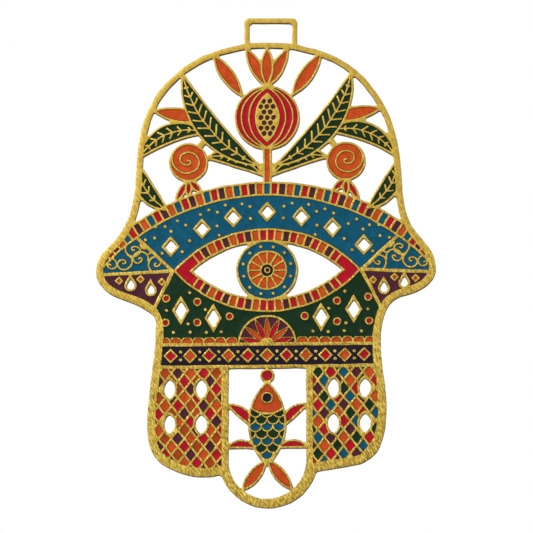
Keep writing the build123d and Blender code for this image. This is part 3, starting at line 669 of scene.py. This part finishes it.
def rounded_plate(metal):
    """The brass with softly rounded, slightly wandering edges, and dark walls."""
    bm = working_copy(PLATE)
    inset, drop = metal.edge_inset, metal.edge_drop
    rim_layer = bm.verts.layers.float.new(RIM_ATTRIBUTE)
    front = flat_faces(bm, -1.0, PLATE_LOW.y)
    rims = step_rims(bm, front, [inset * width for width in RIM_WIDTHS])
    lower_rims(rims, [drop * share for share in FRONT_DROPS], -1.0)
    back = flat_faces(bm, 1.0, PLATE_HIGH.y)
    back_rims = step_rims(bm, back, [inset * BACK_WIDTH])
    lower_rims(back_rims, [drop * BACK_DROP], 1.0)
    for rim, shade in zip(rims, RIM_SHADES):
        for vert in rim:
            vert[rim_layer] = shade
    split_long_edges(bm, metal.edge_step)
    bm.normal_update()
    for face in bm.faces:
        if abs(face.normal.y) < WALL_NORMAL:
            face.material_index = 1
        elif face.normal.y > 0:
            face.material_index = 2
    wander(bm, metal)
    return bm


def cell_groups(bm):
    """The separate cells of enamel, each as its vertices."""
    left = set(bm.verts)
    while left:
        found, queue = set(), [left.pop()]
        while queue:
            vert = queue.pop()
            found.add(vert)
            for edge in vert.link_edges:
                other = edge.other_vert(vert)
                if other in left:
                    left.discard(other)
                    queue.append(other)
        yield found


def flowed_enamel(node, metal, enamel):
    """Enamel that lies level in its recess and climbs the walls a little."""
    bm = working_copy(node)
    level = min(vert.co.y for vert in bm.verts)
    rim_layer = bm.verts.layers.float.new(RIM_ATTRIBUTE)
    tone_layer = bm.verts.layers.float.new(TONE_ATTRIBUTE)
    faces = flat_faces(bm, -1.0, level)
    rims = step_rims(bm, faces, [enamel.meniscus_width * width for width in RIM_WIDTHS])
    lower_rims(rims, [-enamel.meniscus * rise for rise in MENISCUS_RISES], -1.0)
    inner = {vert for face in faces for vert in face.verts}
    for vert in bm.verts:
        vert[rim_layer] = 0.0 if vert in inner else 1.0
    for rim, shade in zip(rims, RIM_SHADES):
        for vert in rim:
            vert[rim_layer] = shade
    for cell in cell_groups(bm):
        corner = Vector([min(vert.co[axis] for vert in cell) for axis in range(3)])
        tone = noise.cell(corner / enamel.meniscus_width)
        for vert in cell:
            vert[tone_layer] = tone
    split_long_edges(bm, metal.edge_step)
    wander(bm, metal)
    return bm


def make_enamel(context, *starts):
    """Makes the enamel of every node whose name starts with one of these words."""
    metal, enamel, _ = settings_of(context)
    nodes = [name for name in sorted(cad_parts) if name != PLATE and name.startswith(starts)]
    if not nodes:
        raise RuntimeError(f"no enamel nodes start with {starts}")
    for node in nodes:
        colour = node.split("_")[-1]
        bm = flowed_enamel(node, metal, enamel)
        piece = finished_object(bm, f"{node}_enamel", [material_for(enamel, colour)])
        stand_for(piece, node)


class HAMSA_OT_brass_plate(bpy.types.Operator):
    """Round the edges of the brass plate and brush it"""

    bl_idname = "hamsa.brass_plate"
    bl_label = "Brass plate"

    def execute(self, context):
        metal = settings_of(context)[0]
        bm = rounded_plate(metal)
        front = brushed_brass("brushed_brass_front", metal, FRONT_CONTRAST)
        back = brushed_brass("brushed_brass_back", metal, BACK_CONTRAST)
        piece = finished_object(bm, "etched_brass_plate", [front, cut_brass(metal), back])
        stand_for(piece, PLATE)
        return {"FINISHED"}


class HAMSA_OT_fruit_enamel(bpy.types.Operator):
    """Fill the fruit, its seeds, crowns and stem"""

    bl_idname = "hamsa.fruit_enamel"
    bl_label = "Fruit enamel"

    def execute(self, context):
        make_enamel(context, "middle_fruit", "left_fruit", "right_fruit", "side_fruit", "stem")
        return {"FINISHED"}


class HAMSA_OT_leaf_enamel(bpy.types.Operator):
    """Fill the leaves and buds on both sides"""

    bl_idname = "hamsa.leaf_enamel"
    bl_label = "Leaf enamel"

    def execute(self, context):
        kinds = ("tall_leaf", "shoulder_leaf", "low_leaf", "rim_leaf", "buds")
        make_enamel(context, *(f"{side}_{kind}" for side in ("left", "right") for kind in kinds))
        return {"FINISHED"}


class HAMSA_OT_arch_enamel(bpy.types.Operator):
    """Fill the mosaic arch"""

    bl_idname = "hamsa.arch_enamel"
    bl_label = "Arch enamel"

    def execute(self, context):
        make_enamel(context, "arch_mosaic")
        return {"FINISHED"}


class HAMSA_OT_eye_enamel(bpy.types.Operator):
    """Fill the eyelids, the iris and the pupil"""

    bl_idname = "hamsa.eye_enamel"
    bl_label = "Eye enamel"

    def execute(self, context):
        make_enamel(context, "eye_lid", "iris", "pupil")
        return {"FINISHED"}


class HAMSA_OT_thumb_enamel(bpy.types.Operator):
    """Fill the shoulder field and both thumbs"""

    bl_idname = "hamsa.thumb_enamel"
    bl_label = "Shoulder and thumb enamel"

    def execute(self, context):
        make_enamel(context, "shoulder_field", "left_thumb", "right_thumb")
        return {"FINISHED"}


class HAMSA_OT_palm_enamel(bpy.types.Operator):
    """Fill the palm, its rings, scallops and half rosette"""

    bl_idname = "hamsa.palm_enamel"
    bl_label = "Palm enamel"

    def execute(self, context):
        make_enamel(context, "palm", "rosette")
        return {"FINISHED"}


class HAMSA_OT_band_enamel(bpy.types.Operator):
    """Fill the cross band and its diamonds"""

    bl_idname = "hamsa.band_enamel"
    bl_label = "Band enamel"

    def execute(self, context):
        make_enamel(context, "band_diamonds", "cross_band")
        return {"FINISHED"}


class HAMSA_OT_trellis_enamel(bpy.types.Operator):
    """Fill the trellis on both side fingers"""

    bl_idname = "hamsa.trellis_enamel"
    bl_label = "Trellis enamel"

    def execute(self, context):
        make_enamel(context, "left_trellis", "right_trellis")
        return {"FINISHED"}


class HAMSA_OT_fish_enamel(bpy.types.Operator):
    """Fill the fish on the middle finger"""

    bl_idname = "hamsa.fish_enamel"
    bl_label = "Fish enamel"

    def execute(self, context):
        make_enamel(context, "fish")
        return {"FINISHED"}


# Stage


def make_floor(stage):
    """A pale round floor below the hand."""
    bm = bmesh.new()
    bmesh.ops.create_circle(bm, cap_ends=True, segments=FLOOR_SIDES, radius=stage.floor_radius)
    bmesh.ops.translate(bm, vec=(0.0, 0.0, -stage.floor_depth), verts=bm.verts)
    material, tree, shader, place = new_material("pale_floor")
    cloud = noise_value(tree, mapped(tree, place, FLOOR_CLOUD))
    pale = paint(stage.floor_colour)
    darker = paint(FLOOR_SHADE * value for value in stage.floor_colour)
    feed(tree, shader, Base_Color=mixed(tree, cloud, pale, darker), Roughness=FLOOR_ROUGHNESS)
    floor = finished_object(bm, "pale_floor", [material])
    floor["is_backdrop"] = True


def make_world(stage):
    """White behind the hand and in the metal, and an even light on the rest."""
    world = bpy.data.worlds.new("studio")
    world.use_nodes = True
    tree = world.node_tree
    tree.nodes.clear()
    path = add_node(tree, "ShaderNodeLightPath")
    seen = combined(tree, "ADD", path.outputs["Is Camera Ray"], path.outputs["Is Glossy Ray"])
    seen = combined(tree, "ADD", seen, path.outputs["Is Transmission Ray"])
    back = add_node(tree, "ShaderNodeBackground")
    strength = eased(tree, seen, stage.room_light, 1.0)
    feed(tree, back, Color=WHITE, Strength=strength)
    surface = add_node(tree, "ShaderNodeOutputWorld")
    tree.links.new(out(back), surface.inputs["Surface"])
    bpy.context.scene.world = world


def aim(thing, place, target):
    """Stands a lamp or camera at a place and turns it to a target."""
    thing.location = place
    thing.rotation_euler = (target - place).to_track_quat("-Z", "Y").to_euler()


def make_lamp(name, place, size, power):
    """A round lamp that shines on the middle of the hand."""
    data = bpy.data.lights.new(name, "AREA")
    data.shape = "DISK"
    data.size = size
    data.energy = power
    lamp = bpy.data.objects.new(name, data)
    bpy.context.scene.collection.objects.link(lamp)
    aim(lamp, Vector(place), PICTURE_CENTRE)


def make_camera(stage):
    """A camera that looks up at the hand from a little below and to the right."""
    data = bpy.data.cameras.new("camera")
    data.sensor_width = SENSOR_MILLIMETRES
    data.lens = data.sensor_width * stage.distance / PICTURE_SIZE
    data.clip_start = CLIP_START
    camera = bpy.data.objects.new("camera", data)
    bpy.context.scene.collection.objects.link(camera)
    flat = math.cos(stage.drop)
    way = Vector((flat * math.sin(stage.turn), -flat * math.cos(stage.turn), -math.sin(stage.drop)))
    aim(camera, PICTURE_CENTRE + way * stage.distance, PICTURE_CENTRE)
    bpy.context.scene.camera = camera


class HAMSA_OT_stage(bpy.types.Operator):
    """Set the floor, the lamps, the white surround and the camera"""

    bl_idname = "hamsa.stage"
    bl_label = "Stage"

    def execute(self, context):
        stage = settings_of(context)[2]
        make_camera(stage)
        make_floor(stage)
        make_world(stage)
        make_lamp("key_lamp", KEY_PLACE, KEY_SIZE, stage.key_power)
        make_lamp("fill_lamp", FILL_PLACE, FILL_SIZE, stage.fill_power)
        context.scene.view_settings.view_transform = "Standard"
        return {"FINISHED"}


OPERATORS = (
    HAMSA_OT_stage,
    HAMSA_OT_brass_plate,
    HAMSA_OT_fruit_enamel,
    HAMSA_OT_leaf_enamel,
    HAMSA_OT_arch_enamel,
    HAMSA_OT_eye_enamel,
    HAMSA_OT_thumb_enamel,
    HAMSA_OT_palm_enamel,
    HAMSA_OT_band_enamel,
    HAMSA_OT_trellis_enamel,
    HAMSA_OT_fish_enamel,
)


class HAMSA_PT_panel(bpy.types.Panel):
    """The steps that finish the hand"""

    bl_idname = "HAMSA_PT_panel"
    bl_label = "Enamelled brass hamsa"
    bl_space_type = "VIEW_3D"
    bl_region_type = "UI"
    bl_category = "Hamsa"

    def draw(self, context):
        """Lists every setting, and a button for every step."""
        for settings in settings_of(context):
            box = self.layout.box()
            for key in settings.bl_rna.properties.keys():
                if key not in ("rna_type", "name"):
                    box.prop(settings, key)
        for operator in OPERATORS:
            self.layout.operator(operator.bl_idname)


SETTINGS = {
    "hamsa_metal": HamsaMetalSettings,
    "hamsa_enamel": HamsaEnamelSettings,
    "hamsa_stage": HamsaStageSettings,
}


def register():
    """Adds the settings, the steps and the panel."""
    for group in SETTINGS.values():
        bpy.utils.register_class(group)
    for operator in OPERATORS:
        bpy.utils.register_class(operator)
    bpy.utils.register_class(HAMSA_PT_panel)
    for name, group in SETTINGS.items():
        setattr(bpy.types.Scene, name, bpy.props.PointerProperty(type=group))


def unregister():
    """Takes the settings, the steps and the panel away again."""
    for name in SETTINGS:
        delattr(bpy.types.Scene, name)
    bpy.utils.unregister_class(HAMSA_PT_panel)
    for operator in reversed(OPERATORS):
        bpy.utils.unregister_class(operator)
    for group in reversed(SETTINGS.values()):
        bpy.utils.unregister_class(group)


def main():
    """Runs every step."""
    register()
    for operator in OPERATORS:
        family, name = operator.bl_idname.split(".")
        getattr(getattr(bpy.ops, family), name)()
    boxes = {"cad": CAD_BOUNDS, "visual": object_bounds()}
    {name: [list(corner) for corner in box] for name, box in boxes.items()}


if __name__ == "__main__":
    main()
